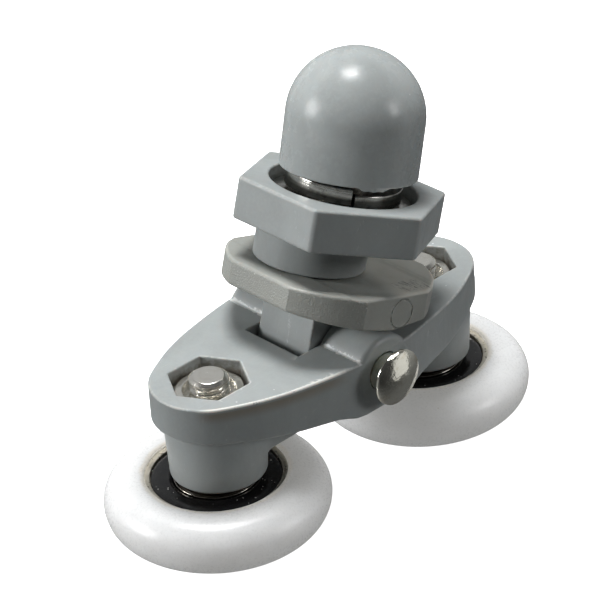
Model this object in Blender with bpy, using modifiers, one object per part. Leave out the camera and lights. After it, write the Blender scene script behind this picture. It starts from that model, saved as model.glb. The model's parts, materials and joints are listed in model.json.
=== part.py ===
"""Twin-wheel roller for a sliding shower door, in metres, +Z up.

The carrier arm lies along X and holds two ball-bearing wheels that turn about Z.  A stem
pivots in the arm on a rivet along Y, and clamps the glass between a plate and an eccentric bush
under a domed cap nut.  The origin is on the surface that the two bolt heads stand on, midway
between the wheels.  The stem's own axis is called w; it leans from +Z towards +X.
"""
from math import atan2, cos, pi, radians, sin, sqrt

import bmesh
import bpy
from mathutils import Matrix

MM = 0.001
GAP = 0.05 * MM                    # between pieces that touch
SEGMENTS = 36                      # round pieces
FINE_SEGMENTS = 48                 # tyres, cap and bush

# Wheels and bearings
AXLE_SPACING = 29.4 * MM
WHEEL_RADIUS = 11.5 * MM
WHEEL_WIDTH = 6.0 * MM
RIM_ROUND = 2.9 * MM
WHEEL_BASE_Z = 1.7 * MM            # underside of the tyres above the surface
LIP_RADIUS = 7.18 * MM             # opening in the tyre's faces
LIP_THICKNESS = 0.5 * MM
BEARING_BORE = 3.0 * MM
BEARING_OUTER = 7.5 * MM
BEARING_WIDTH = 5.0 * MM
INNER_RING_RADIUS = 4.35 * MM
OUTER_RING_RADIUS = 6.3 * MM
SEAL_OUTER = 6.9 * MM
SEAL_THICKNESS = 0.3 * MM
PITCH_RADIUS = 5.3 * MM
BALL_RADIUS = 1.2 * MM
BALLS = 7

# Carrier arm
ARM_TOP_Z = 18.45 * MM
ARM_END_RADIUS = 5.95 * MM
ARM_END_BOTTOM_Z = 14.7 * MM
ARM_MID_BOTTOM_Z = 12.2 * MM
ARM_SHOULDER_X = 6.4 * MM
ARM_SHOULDER_BOTTOM_Z = 13.15 * MM
ARM_HALF_WIDTH = 9.6 * MM
ARM_END_ARC = radians(62.0)
ARM_FLANK = ((16.6, 5.75), (14.0, 7.0), (10.9, 8.05), (7.4, 8.83), (4.0, 9.45), (2.2, 9.6))  # mm
PIVOT_Z = 16.2 * MM
BARREL_RADIUS = 3.8 * MM
SLOT_HALF_LENGTH = 6.13 * MM
SLOT_HALF_WIDTH = 3.8 * MM
BOSS_TOP_RADIUS = 5.25 * MM
BOSS_END_RADIUS = 4.85 * MM
BOSS_END_Z = 7.95 * MM
WEB_HALF_WIDTH = 4.5 * MM
WEB_END_X = 6.6 * MM
WEB_BOTTOM_Z = 10.1 * MM

# Axle bolts and nuts, M4
BOLT_RADIUS = 2.0 * MM
BOLT_END_Z = 18.8 * MM
BOLT_HEAD_RADIUS = 3.8 * MM
BOLT_HEAD_HEIGHT = 2.2 * MM
NUT_FLATS = 7.0 * MM
NUT_HEIGHT = 3.2 * MM
NUT_TOP_Z = 17.25 * MM
POCKET_FLATS = 7.3 * MM

# Pivot rivet
RIVET_RADIUS = 2.0 * MM
RIVET_HEAD_RADIUS = 2.97 * MM
RIVET_HEAD_BASE_Y = -11.15 * MM
RIVET_HEAD_HEIGHT = 1.0 * MM
RIVET_TAIL_Y = 11.0 * MM

# Stem, measured along its own axis from the rivet
LEAN = radians(17.1)
TONGUE_HALF_LENGTH = 4.9 * MM
TONGUE_HALF_WIDTH = 3.6 * MM
TONGUE_BOTTOM = -3.7 * MM
PLATE_BOTTOM = 4.2 * MM
PLATE_TOP = 8.15 * MM
PLATE_SLOPE = 0.133                # rise of the underside towards +X and -X
PLATE_RADIUS = 10.6 * MM
PLATE_HALF_LENGTH = 9.8 * MM
PLATE_HALF_WIDTH = 9.65 * MM
PLATE_BAND_HALF = 5.75 * MM
PLATE_BAND_DEPTH = 0.15 * MM
NECK_RADIUS = 4.6 * MM
NECK_BOTTOM = 4.0 * MM             # clears the barrel
NECK_TOP = 7.2 * MM
STUD_RADIUS = 3.0 * MM
STUD_TOP = 25.2 * MM

# Eccentric bush
COLLAR_RADIUS = 5.74 * MM
COLLAR_OFFSET = (-1.85 * MM, 1.2 * MM)
COLLAR_BOTTOM = 8.2 * MM
HEX_BOTTOM = 12.0 * MM
HEX_TOP = 16.4 * MM
HEX_CORNER_RADIUS = 10.85 * MM
HEX_TURN = radians(30.0)
RECESS_RADIUS = 7.5 * MM
RECESS_FLOOR = 14.2 * MM
BUSH_BORE = 3.1 * MM

# Washers and cap
WASHER_RADIUS = 7.2 * MM
WASHER_THICKNESS = 1.0 * MM
LOCK_RADIUS = 5.9 * MM
LOCK_INNER = 3.3 * MM
LOCK_THICKNESS = 1.75 * MM
LOCK_RISE = 0.75 * MM
LOCK_SPLIT = radians(233.0)
CAP_RADIUS = 7.01 * MM
CAP_RIM = 17.88 * MM
CAP_SPHERE = 23.46 * MM
INSERT_FLATS = 10.0 * MM
INSERT_BOTTOM = 19.0 * MM
INSERT_HEIGHT = 5.0 * MM

GREY = (0.335, 0.375, 0.385)
WARM_GREY = (0.34, 0.345, 0.32)
WHITE = (0.84, 0.85, 0.84)
BLACK = (0.012, 0.012, 0.013)
STEEL = (0.62, 0.60, 0.57)
NICKEL = (0.68, 0.66, 0.61)
BRASS = (0.70, 0.55, 0.28)


# ---------------------------------------------------------------- scene and materials

def clear_scene():
    for item in list(bpy.data.objects):
        bpy.data.objects.remove(item, do_unlink=True)


def make_collection(name):
    collection = bpy.data.collections.new(name)
    bpy.context.scene.collection.children.link(collection)
    return collection


def make_material(name, colour, roughness, metallic=0.0):
    material = bpy.data.materials.new(name)
    material.use_nodes = True
    shader = material.node_tree.nodes["Principled BSDF"]
    shader.inputs["Base Color"].default_value = (*colour, 1.0)
    shader.inputs["Roughness"].default_value = roughness
    shader.inputs["Metallic"].default_value = metallic
    return material


clear_scene()
PARTS = make_collection("shower_door_roller")
CUTTERS = make_collection("cutters")


def place_object(name, mesh, collection, parent, location, rotation):
    """Link a mesh; a turned outline gets its Screw modifier here."""
    item = bpy.data.objects.new(name, mesh)
    collection.objects.link(item)
    item.parent = parent
    item.location = location
    item.rotation_euler = rotation
    if "turns" in mesh:
        screw = item.modifiers.new("turn", "SCREW")
        screw.steps = mesh["turns"]
        screw.render_steps = mesh["turns"]
        screw.use_merge_vertices = True
        screw.merge_threshold = 0.00001
        screw.use_smooth_shade = True
    return item


def add_part(name, mesh, material, parent=None, location=(0, 0, 0), rotation=(0, 0, 0)):
    """A named sub-part."""
    item = place_object(name, mesh, PARTS, parent, location, rotation)
    item.data.materials.clear()
    item.data.materials.append(material)
    return item


def add_cutter(name, mesh, parent=None, location=(0, 0, 0), rotation=(0, 0, 0)):
    """A shape that only cuts or joins other shapes."""
    item = place_object(name, mesh, CUTTERS, parent, location, rotation)
    item.hide_render = True
    item.display_type = "WIRE"
    return item


def add_empty(name, location, rotation=(0.0, 0.0, 0.0)):
    item = bpy.data.objects.new(name, None)
    PARTS.objects.link(item)
    item.location = location
    item.rotation_euler = rotation
    return item


# ---------------------------------------------------------------- shapes

def finish_mesh(name, shape):
    """Turn a bmesh into a mesh with outward faces and smooth round sides."""
    bmesh.ops.recalc_face_normals(shape, faces=shape.faces)
    mesh = bpy.data.meshes.new(name)
    shape.to_mesh(mesh)
    shape.free()
    mesh.shade_smooth()
    mesh.set_sharp_from_angle(angle=radians(35.0))
    return mesh


def turned(name, profile, segments=SEGMENTS):
    """A (radius, height) outline for a Screw modifier, running down its outer side.

    An outline that starts and ends on the axis stays open there; any other is closed.
    """
    mesh = bpy.data.meshes.new(name)
    count = len(profile)
    edges = [(i, i + 1) for i in range(count - 1)]
    if profile[0][0] > 0.0:
        edges.append((count - 1, 0))
    mesh.from_pydata([(radius, 0.0, height) for radius, height in profile], edges, [])
    mesh["turns"] = segments
    return mesh


def prism(name, outline, low, high):
    """Raise a flat (x, y) outline from one height to another."""
    shape = bmesh.new()
    base = shape.faces.new([shape.verts.new((x, y, low)) for x, y in outline])
    raised = bmesh.ops.extrude_face_region(shape, geom=[base])
    top = [item for item in raised["geom"] if isinstance(item, bmesh.types.BMVert)]
    bmesh.ops.translate(shape, vec=(0, 0, high - low), verts=top)
    return finish_mesh(name, shape)


def loft(name, rings):
    """Join rings of equally many (x, y, z) points, with a flat face at each end."""
    shape = bmesh.new()
    loops = [[shape.verts.new(point) for point in ring] for ring in rings]
    count = len(loops[0])
    for lower, upper in zip(loops, loops[1:]):
        for i in range(count):
            shape.faces.new((lower[i - 1], lower[i], upper[i], upper[i - 1]))
    shape.faces.new(loops[0])
    shape.faces.new(loops[-1])
    return finish_mesh(name, shape)


def side_prism(name, outline, half_width):
    """Extend an (x, z) outline from -half_width to +half_width along Y."""
    mesh = prism(name, [(x, -z) for x, z in outline], -half_width, half_width)
    mesh.transform(Matrix.Rotation(radians(-90.0), 4, "X"))
    return mesh


def cylinder(name, radius, low, high, segments=SEGMENTS):
    return turned(name, [(0, high), (radius, high), (radius, low), (0, low)], segments)


def polygon(count, radius, turn=0.0, centre=(0.0, 0.0)):
    angles = [turn + 2 * pi * i / count for i in range(count)]
    return [(centre[0] + radius * cos(a), centre[1] + radius * sin(a)) for a in angles]


def arc(radius, start, end, steps, centre=(0.0, 0.0)):
    """Points on an arc, both ends included."""
    angles = [start + (end - start) * i / steps for i in range(steps + 1)]
    return [(centre[0] + radius * cos(a), centre[1] + radius * sin(a)) for a in angles]


def hexagon(flats, turn=0.0):
    return polygon(6, flats / sqrt(3.0), turn)


def cut(item, cutter, operation="DIFFERENCE"):
    """Add an exact Boolean of one object with another."""
    modifier = item.modifiers.new(cutter.name, "BOOLEAN")
    modifier.object = cutter
    modifier.operation = operation
    modifier.solver = "EXACT"


# ---------------------------------------------------------------- wheels and bearings

def tyre_mesh():
    """A tyre with a full round rim, moulded round the bearing's outer ring."""
    round_centre = WHEEL_RADIUS - RIM_ROUND
    middle = WHEEL_WIDTH / 2
    rim = arc(RIM_ROUND, radians(90.0), radians(-90.0), 8, (round_centre, middle))
    seat = BEARING_OUTER + GAP
    return turned("tyre", [
        (LIP_RADIUS, WHEEL_WIDTH), *[(x, max(0.0, min(WHEEL_WIDTH, z))) for x, z in rim],
        (LIP_RADIUS, 0.0), (LIP_RADIUS, LIP_THICKNESS - GAP), (seat, LIP_THICKNESS - GAP),
        (seat, WHEEL_WIDTH - LIP_THICKNESS + GAP),
        (LIP_RADIUS, WHEEL_WIDTH - LIP_THICKNESS + GAP)], FINE_SEGMENTS)


def groove(side, depth_gap):
    """The ball track's profile, cut from the inner (side -1) or outer (side 1) ring."""
    radius = BALL_RADIUS + depth_gap
    edge = INNER_RING_RADIUS if side < 0 else OUTER_RING_RADIUS
    reach = abs(edge - PITCH_RADIUS)
    half = atan2(sqrt(radius ** 2 - reach ** 2), reach)
    middle = pi if side < 0 else 0.0
    points = arc(radius, middle - half, middle + half, 3, (PITCH_RADIUS, 0.0))
    return points


def inner_ring_mesh():
    half = BEARING_WIDTH / 2
    track = groove(-1, GAP)
    return turned("inner_ring", [(INNER_RING_RADIUS, half), *track,
                                 (INNER_RING_RADIUS, -half), (BEARING_BORE, -half),
                                 (BEARING_BORE, half)])


def outer_ring_mesh():
    half = BEARING_WIDTH / 2
    step = half - SEAL_THICKNESS - 0.25 * MM
    seal_seat = SEAL_OUTER + GAP
    track = list(reversed(groove(1, GAP)))
    inside = [(seal_seat, -half), (seal_seat, -step), (OUTER_RING_RADIUS, -step),
              *reversed(track), (OUTER_RING_RADIUS, step), (seal_seat, step), (seal_seat, half)]
    return turned("outer_ring", [(BEARING_OUTER, half), (BEARING_OUTER, -half), *inside])


def seal_mesh():
    inner = INNER_RING_RADIUS + 2 * GAP
    half = SEAL_THICKNESS / 2
    return turned("seal", [(inner, half), (SEAL_OUTER, half), (SEAL_OUTER, -half), (inner, -half)])


def cage_mesh():
    """A crown ring with a scoop for each ball."""
    return turned("cage", [(4.75 * MM, 1.65 * MM), (5.85 * MM, 1.65 * MM),
                           (5.85 * MM, -0.3 * MM), (4.75 * MM, -0.3 * MM)], 42)


def ball_mesh(name, radius):
    shape = bmesh.new()
    bmesh.ops.create_icosphere(shape, subdivisions=2, radius=radius)
    return finish_mesh(name, shape)


def build_wheel(side, x, materials):
    """One wheel with its bearing, on its own axis."""
    axis = add_empty(f"wheel_axis_{side}", (x, 0.0, WHEEL_BASE_Z + WHEEL_WIDTH / 2))
    half = BEARING_WIDTH / 2 - SEAL_THICKNESS / 2 - 0.1 * MM
    add_part(f"tyre_{side}", tyre_mesh(), materials["tyre"], axis, (0, 0, -WHEEL_WIDTH / 2))
    add_part(f"outer_ring_{side}", outer_ring_mesh(), materials["bearing_steel"], axis)
    add_part(f"inner_ring_{side}", inner_ring_mesh(), materials["bearing_steel"], axis)
    add_part(f"upper_seal_{side}", seal_mesh(), materials["seal"], axis, (0, 0, half))
    add_part(f"lower_seal_{side}", seal_mesh(), materials["seal"], axis, (0, 0, -half))
    cage = add_part(f"ball_cage_{side}", cage_mesh(), materials["cage"], axis)
    for number in range(BALLS):
        angle = 2 * pi * number / BALLS
        place = (PITCH_RADIUS * cos(angle), PITCH_RADIUS * sin(angle), 0.0)
        add_part(f"ball_{side}{number + 1}", ball_mesh("ball", BALL_RADIUS),
                 materials["bearing_steel"], axis, place)
        scoop = ball_mesh("scoop", BALL_RADIUS * 1.12)
        cut(cage, add_cutter(f"scoop_{side}{number + 1}", scoop, axis, place))


# ---------------------------------------------------------------- carrier arm

def arm_outline():
    """The arm seen from above: round ends, bowed flanks, a flat across the barrel."""
    end = arc(ARM_END_RADIUS, 0.0, ARM_END_ARC, 8, (AXLE_SPACING / 2, 0.0))
    upper = end + [(x * MM, y * MM) for x, y in ARM_FLANK]
    mirrored = [(-x, y) for x, y in reversed(upper)]
    half = upper + mirrored
    return half + [(x, -y) for x, y in reversed(half[1:-1])]


def arm_side_profile():
    """The arm seen from the front: thin at the ends, deep under the barrel."""
    end_x = AXLE_SPACING / 2 + ARM_END_RADIUS + 1 * MM
    right = [(end_x, ARM_END_BOTTOM_Z), (9.1 * MM, 13.35 * MM),
             (ARM_SHOULDER_X, ARM_SHOULDER_BOTTOM_Z),
             (4.9 * MM, 12.75 * MM), (3.9 * MM, 12.3 * MM), (2.6 * MM, ARM_MID_BOTTOM_Z)]
    left = [(-x, z) for x, z in reversed(right)]
    return [(end_x, ARM_TOP_Z), *right, *left, (-end_x, ARM_TOP_Z)]


def boss_mesh():
    """A tapered boss with a stepped foot and a spigot for the bearing's bore."""
    spigot = BEARING_BORE - GAP
    land_z = WHEEL_BASE_Z + (WHEEL_WIDTH + BEARING_WIDTH) / 2 + GAP
    return turned("boss", [
        (0.0, 17.0 * MM), (BOSS_TOP_RADIUS, 17.0 * MM),
        (BOSS_TOP_RADIUS + 0.55 * MM, ARM_END_BOTTOM_Z + 0.1 * MM),
        (BOSS_TOP_RADIUS, ARM_END_BOTTOM_Z - 0.9 * MM),
        (BOSS_END_RADIUS + 0.15 * MM, BOSS_END_Z + 0.25 * MM),
        (BOSS_END_RADIUS - 0.1 * MM, BOSS_END_Z),
        (3.9 * MM, BOSS_END_Z), (3.9 * MM, land_z), (spigot, land_z),
        (spigot, 2.4 * MM), (0.0, 2.4 * MM)], 32)


def web_mesh(direction):
    """A web under the arm that runs from a boss to the slot."""
    start, end = -direction * AXLE_SPACING / 2, -direction * WEB_END_X
    half = WEB_HALF_WIDTH
    corners = [(start, -half), (end, -half), (end, half), (start, half)]
    if direction < 0:
        corners.reverse()
    return prism("web", corners, WEB_BOTTOM_Z, ARM_END_BOTTOM_Z + 1.0 * MM)


def axle_hole_mesh():
    """A round hole for the bolt that opens into a hexagonal pocket for the nut."""
    steps = 4
    corners = hexagon(POCKET_FLATS)
    around = []
    for start, end in zip(corners, corners[1:] + corners[:1]):
        for i in range(steps):
            share = i / steps
            around.append((start[0] + (end[0] - start[0]) * share,
                           start[1] + (end[1] - start[1]) * share))
    radius = BOLT_RADIUS + 0.1 * MM
    circle = [(radius * cos(atan2(y, x)), radius * sin(atan2(y, x))) for x, y in around]
    floor = NUT_TOP_Z - NUT_HEIGHT - GAP
    return loft("axle_hole", [[(x, y, 1 * MM) for x, y in circle],
                              [(x, y, floor) for x, y in circle],
                              [(x, y, floor) for x, y in around],
                              [(x, y, 20 * MM) for x, y in around]])


def build_arm(materials):
    arm = add_part("carrier_arm", prism("carrier_arm", arm_outline(), 11.0 * MM, ARM_TOP_Z),
                   materials["grey_plastic"])
    profile = side_prism("arm_profile", arm_side_profile(), 12 * MM)
    cut(arm, add_cutter("arm_profile", profile), "INTERSECT")
    lying = (radians(90.0), 0.0, 0.0)
    barrel_end = ARM_HALF_WIDTH + 0.04 * MM
    barrel = side_prism("barrel", polygon(SEGMENTS, BARREL_RADIUS), barrel_end)
    cut(arm, add_cutter("barrel", barrel, None, (0, 0, PIVOT_Z)), "UNION")
    for side, direction in (("a", 1), ("b", -1)):
        x = -direction * AXLE_SPACING / 2
        cut(arm, add_cutter(f"web_{side}", web_mesh(direction)), "UNION")
        cut(arm, add_cutter(f"boss_{side}", boss_mesh(), None, (x, 0, 0)), "UNION")
    slot = [(-SLOT_HALF_LENGTH, -SLOT_HALF_WIDTH), (SLOT_HALF_LENGTH, -SLOT_HALF_WIDTH),
            (SLOT_HALF_LENGTH, SLOT_HALF_WIDTH), (-SLOT_HALF_LENGTH, SLOT_HALF_WIDTH)]
    cut(arm, add_cutter("slot", prism("slot", slot, 9 * MM, 22 * MM)))
    rivet_hole = cylinder("rivet_hole", RIVET_RADIUS + GAP, -12 * MM, 12 * MM, 32)
    cut(arm, add_cutter("rivet_hole", rivet_hole, None, (0, 0, PIVOT_Z), lying))
    for side, x in (("a", -AXLE_SPACING / 2), ("b", AXLE_SPACING / 2)):
        cut(arm, add_cutter(f"axle_hole_{side}", axle_hole_mesh(), None, (x, 0, 0)))


# ---------------------------------------------------------------- fasteners

def bolt_mesh():
    """An M4 screw with a low domed head below and a chamfered end above."""
    dome = arc(6.0 * MM, radians(-50.7), radians(-90.0), 4, (0.0, 6.0 * MM))
    rim = BOLT_HEAD_HEIGHT
    return turned("axle_bolt", [
        (0.0, BOLT_END_Z), (BOLT_RADIUS - 0.35 * MM, BOLT_END_Z),
        (BOLT_RADIUS, BOLT_END_Z - 0.35 * MM), (BOLT_RADIUS, rim - GAP),
        (BOLT_HEAD_RADIUS, rim - GAP), *[(max(0.0, x), z) for x, z in dome]], 32)


def cross_recess_mesh():
    """A cross-shaped driver recess, 1.2 mm deep."""
    arm, half, depth = 1.9 * MM, 0.42 * MM, 1.2 * MM
    outline = []
    for turn in range(4):
        angle = turn * pi / 2
        for x, y in ((arm, -half), (arm, half), (half, half)):
            outline.append((x * cos(angle) - y * sin(angle), x * sin(angle) + y * cos(angle)))
    return prism("cross_recess", outline, -1 * MM, depth)


def nut_mesh(flats, height, bore, segments=24):
    """A hexagon nut with both faces chamfered, from a turned blank cut to a hexagon."""
    corner = flats / sqrt(3.0) + 0.05 * MM
    ease = 0.13 * flats
    bevel = ease * 0.55
    return turned("nut", [(bore, height), (corner - ease, height), (corner, height - bevel),
                          (corner, bevel), (corner - ease, 0.0), (bore, 0.0)], segments)


def build_nut(name, flats, height, bore, material, parent, location):
    nut = add_part(name, nut_mesh(flats, height, bore), material, parent, location)
    blank = prism("hexagon", hexagon(flats), -1 * MM, height + 1 * MM)
    cut(nut, add_cutter(f"{name}_hexagon", blank, parent, location), "INTERSECT")
    return nut


def build_fasteners(materials):
    for side, x in (("a", -AXLE_SPACING / 2), ("b", AXLE_SPACING / 2)):
        bolt = add_part(f"axle_bolt_{side}", bolt_mesh(), materials["nickel"], None, (x, 0, 0))
        cut(bolt, add_cutter(f"cross_recess_{side}", cross_recess_mesh(), None, (x, 0, 0)))
        build_nut(f"axle_nut_{side}", NUT_FLATS, NUT_HEIGHT, BOLT_RADIUS + GAP,
                  materials["nickel"], None, (x, 0, NUT_TOP_Z - NUT_HEIGHT))


def rivet_mesh():
    """The pivot rivet, along its own +Z: domed head at the top, spread tail at the bottom."""
    head_base = -RIVET_HEAD_BASE_Y
    tip = head_base + RIVET_HEAD_HEIGHT
    edge = head_base + 0.3 * MM
    rise = tip - edge
    sphere = (RIVET_HEAD_RADIUS ** 2 + rise ** 2) / (2 * rise)
    top = arc(sphere, pi / 2, pi / 2 - atan2(RIVET_HEAD_RADIUS, sphere - rise), 6,
              (0.0, tip - sphere))
    face = ARM_HALF_WIDTH + 0.1 * MM
    tail = -RIVET_TAIL_Y
    return turned("pivot_rivet", [
        *[(max(0.0, x), z) for x, z in top], (RIVET_HEAD_RADIUS, head_base),
        (RIVET_RADIUS, head_base), (RIVET_RADIUS, -face), (2.7 * MM, -face - 0.1 * MM),
        (2.6 * MM, -face - 0.5 * MM), (1.7 * MM, tail), (0.0, tail)], 40)


# ---------------------------------------------------------------- stem

def tongue_profile():
    """The tongue and the seat under the plate, as (u, w) points."""
    reach = TONGUE_HALF_LENGTH
    low = -sqrt(reach ** 2 - TONGUE_BOTTOM ** 2)
    start = atan2(TONGUE_BOTTOM, low)
    left = arc(reach, start, -pi, 6)
    right = [(-x, z) for x, z in reversed(left)]
    seat = PLATE_BOTTOM - GAP
    edge = seat + PLATE_SLOPE * reach
    return [(-reach, edge), *reversed(left), *reversed(right), (reach, edge), (0.0, seat)]


def plate_outline():
    """A disc with four flats."""
    turn_x = atan2(sqrt(PLATE_RADIUS ** 2 - PLATE_HALF_LENGTH ** 2), PLATE_HALF_LENGTH)
    turn_y = atan2(PLATE_HALF_WIDTH, sqrt(PLATE_RADIUS ** 2 - PLATE_HALF_WIDTH ** 2))
    corner = arc(PLATE_RADIUS, turn_x, turn_y, 8)
    half = corner + [(-x, y) for x, y in reversed(corner)]
    return half + [(-x, -y) for x, y in half]


def build_stem_body(stem, materials):
    """Tongue block, clamp plate and threaded stud."""
    block = add_part("pivot_block", side_prism("pivot_block", tongue_profile(), TONGUE_HALF_WIDTH),
                     materials["grey_plastic"], stem)
    neck = cylinder("neck", NECK_RADIUS - GAP, NECK_BOTTOM, NECK_TOP, 40)
    cut(block, add_cutter("neck", neck, stem), "UNION")
    bore = cylinder("block_bore", RIVET_RADIUS + GAP, -6 * MM, 6 * MM, 32)
    cut(block, add_cutter("block_bore", bore, stem, (0, 0, 0), (radians(90.0), 0, 0)))
    socket = turned("stud_socket", [
        (0, 12 * MM), (STUD_RADIUS + GAP, 12 * MM), (STUD_RADIUS + GAP, 3.7 * MM + GAP),
        (3.4 * MM + GAP, 3.7 * MM + GAP), (3.4 * MM + GAP, 2.7 * MM - GAP),
        (0, 2.7 * MM - GAP)], 40)
    cut(block, add_cutter("stud_socket", socket, stem))

    slope_end = PLATE_SLOPE * 12 * MM
    section = [(-12 * MM, PLATE_TOP), (-12 * MM, PLATE_BOTTOM + slope_end), (0.0, PLATE_BOTTOM),
               (12 * MM, PLATE_BOTTOM + slope_end), (12 * MM, PLATE_TOP)]
    plate = add_part("clamp_plate", prism("clamp_plate", plate_outline(), 3 * MM, 9 * MM),
                     materials["plate_plastic"], stem)
    section_mesh = side_prism("plate_section", section, 12 * MM)
    cut(plate, add_cutter("plate_section", section_mesh, stem), "INTERSECT")
    band = [(-PLATE_BAND_HALF, PLATE_TOP - PLATE_BAND_DEPTH), (-PLATE_BAND_HALF, 10 * MM),
            (PLATE_BAND_HALF, 10 * MM), (PLATE_BAND_HALF, PLATE_TOP - PLATE_BAND_DEPTH)]
    cut(plate, add_cutter("plate_band", side_prism("plate_band", band, 9.0 * MM), stem))
    plate_hole = turned("plate_hole", [
        (0, 9 * MM), (BUSH_BORE, 9 * MM), (BUSH_BORE, NECK_TOP + GAP),
        (NECK_RADIUS, NECK_TOP + GAP), (NECK_RADIUS, 0), (0, 0)], 40)
    cut(plate, add_cutter("plate_hole", plate_hole, stem))

    stud = turned("clamp_stud", [
        (0, STUD_TOP), (STUD_RADIUS - 0.4 * MM, STUD_TOP), (STUD_RADIUS, STUD_TOP - 0.4 * MM),
        (STUD_RADIUS, 3.7 * MM), (3.4 * MM, 3.7 * MM), (3.4 * MM, 2.7 * MM), (0, 2.7 * MM)], 40)
    add_part("clamp_stud", stud, materials["steel"], stem)


def build_bush(stem, materials):
    """A hexagon with a recess on top and an off-centre collar below."""
    corner = HEX_CORNER_RADIUS
    bush = add_part("eccentric_bush", turned("eccentric_bush", [
        (0, HEX_TOP), (corner - 0.35 * MM, HEX_TOP), (corner + 0.15 * MM, HEX_TOP - 0.3 * MM),
        (corner + 0.15 * MM, HEX_BOTTOM), (0, HEX_BOTTOM)], FINE_SEGMENTS),
        materials["grey_plastic"], stem)
    sides = prism("bush_hexagon", polygon(6, corner, HEX_TURN), 10 * MM, 18 * MM)
    cut(bush, add_cutter("bush_hexagon", sides, stem), "INTERSECT")
    collar = cylinder("collar", COLLAR_RADIUS, COLLAR_BOTTOM, HEX_BOTTOM + 0.5 * MM)
    cut(bush, add_cutter("collar", collar, stem, (*COLLAR_OFFSET, 0.0)), "UNION")
    hole = turned("bush_hole", [
        (0, 18 * MM), (RECESS_RADIUS, 18 * MM), (RECESS_RADIUS, RECESS_FLOOR),
        (BUSH_BORE, RECESS_FLOOR), (BUSH_BORE, 7 * MM), (0, 7 * MM)], FINE_SEGMENTS)
    cut(bush, add_cutter("bush_hole", hole, stem))


def lock_washer_mesh(bottom):
    """A split ring of square section that climbs a little over its one turn."""
    shape = bmesh.new()
    split = radians(3.0)
    section = [(LOCK_INNER, bottom), (LOCK_RADIUS, bottom),
               (LOCK_RADIUS, bottom + LOCK_THICKNESS), (LOCK_INNER, bottom + LOCK_THICKNESS)]
    face = shape.faces.new([shape.verts.new((x, 0.0, z)) for x, z in section])
    steps = 44
    bmesh.ops.spin(shape, geom=[face, *face.edges, *face.verts], cent=(0, 0, 0), axis=(0, 0, 1),
                   angle=2 * pi - split, steps=steps, dvec=(0, 0, LOCK_RISE / steps))
    mesh = finish_mesh("lock_washer", shape)
    mesh.transform(Matrix.Rotation(LOCK_SPLIT + split / 2, 4, "Z"))
    return mesh


def cap_mesh():
    """A domed cap with a blind bore."""
    dome = arc(CAP_RADIUS, pi / 2, 0.0, 10, (0.0, CAP_SPHERE))
    bore = STUD_RADIUS + 0.15 * MM
    end = STUD_TOP + 0.8 * MM
    return turned("cap", [*[(max(0.0, x), z) for x, z in dome], (CAP_RADIUS, CAP_RIM),
                          (bore, CAP_RIM), (bore, end), (0, end)], FINE_SEGMENTS)


def build_cap(stem, materials):
    washer_low = RECESS_FLOOR + GAP
    washer_high = washer_low + WASHER_THICKNESS
    add_part("flat_washer", turned("flat_washer", [
        (WASHER_RADIUS, washer_high), (WASHER_RADIUS, washer_low),
        (STUD_RADIUS + 0.2 * MM, washer_low), (STUD_RADIUS + 0.2 * MM, washer_high)]),
        materials["steel"], stem)
    add_part("lock_washer", lock_washer_mesh(washer_high + GAP), materials["steel"], stem)
    cap = add_part("dome_cap", cap_mesh(), materials["grey_plastic"], stem)
    pocket = prism("insert_pocket", hexagon(INSERT_FLATS + 2 * GAP), INSERT_BOTTOM - GAP,
                   INSERT_BOTTOM + INSERT_HEIGHT + GAP)
    cut(cap, add_cutter("insert_pocket", pocket, stem))
    build_nut("cap_insert", INSERT_FLATS, INSERT_HEIGHT, STUD_RADIUS + GAP,
              materials["brass"], stem, (0, 0, INSERT_BOTTOM))


def main():
    materials = {
        "grey_plastic": make_material("grey_plastic", GREY, 0.42),
        "plate_plastic": make_material("plate_plastic", WARM_GREY, 0.5),
        "tyre": make_material("tyre", WHITE, 0.35),
        "seal": make_material("seal", BLACK, 0.35),
        "cage": make_material("cage", BLACK, 0.6),
        "bearing_steel": make_material("bearing_steel", STEEL, 0.3, 1.0),
        "steel": make_material("steel", STEEL, 0.35, 1.0),
        "nickel": make_material("nickel", NICKEL, 0.22, 1.0),
        "brass": make_material("brass", BRASS, 0.35, 1.0),
    }
    build_arm(materials)
    build_fasteners(materials)
    add_part("pivot_rivet", rivet_mesh(), materials["nickel"], None, (0, 0, PIVOT_Z),
             (radians(90.0), 0, 0))
    build_wheel("a", -AXLE_SPACING / 2, materials)
    build_wheel("b", AXLE_SPACING / 2, materials)
    stem = add_empty("stem_axis", (0.0, 0.0, PIVOT_Z), (0.0, LEAN, 0.0))
    build_stem_body(stem, materials)
    build_bush(stem, materials)
    build_cap(stem, materials)


main()
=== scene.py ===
"""Looks of a twin-wheel sliding door roller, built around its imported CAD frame.

Shapes are made in millimetres and scaled to metres as each mesh is stored.  Moulded pieces are
signed distance fields turned into meshes, so that their edges and inner corners are rounded as
on the real mouldings.  Turned pieces are lathed outlines.  Stem pieces use the stem's own frame:
u to its right, v to the back, w along it, measured from the rivet.
"""

import json
from math import asin, atan2, cos, pi, radians, sin, sqrt, tau

import bpy
import numpy as np
from mathutils import Matrix, Vector


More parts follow.
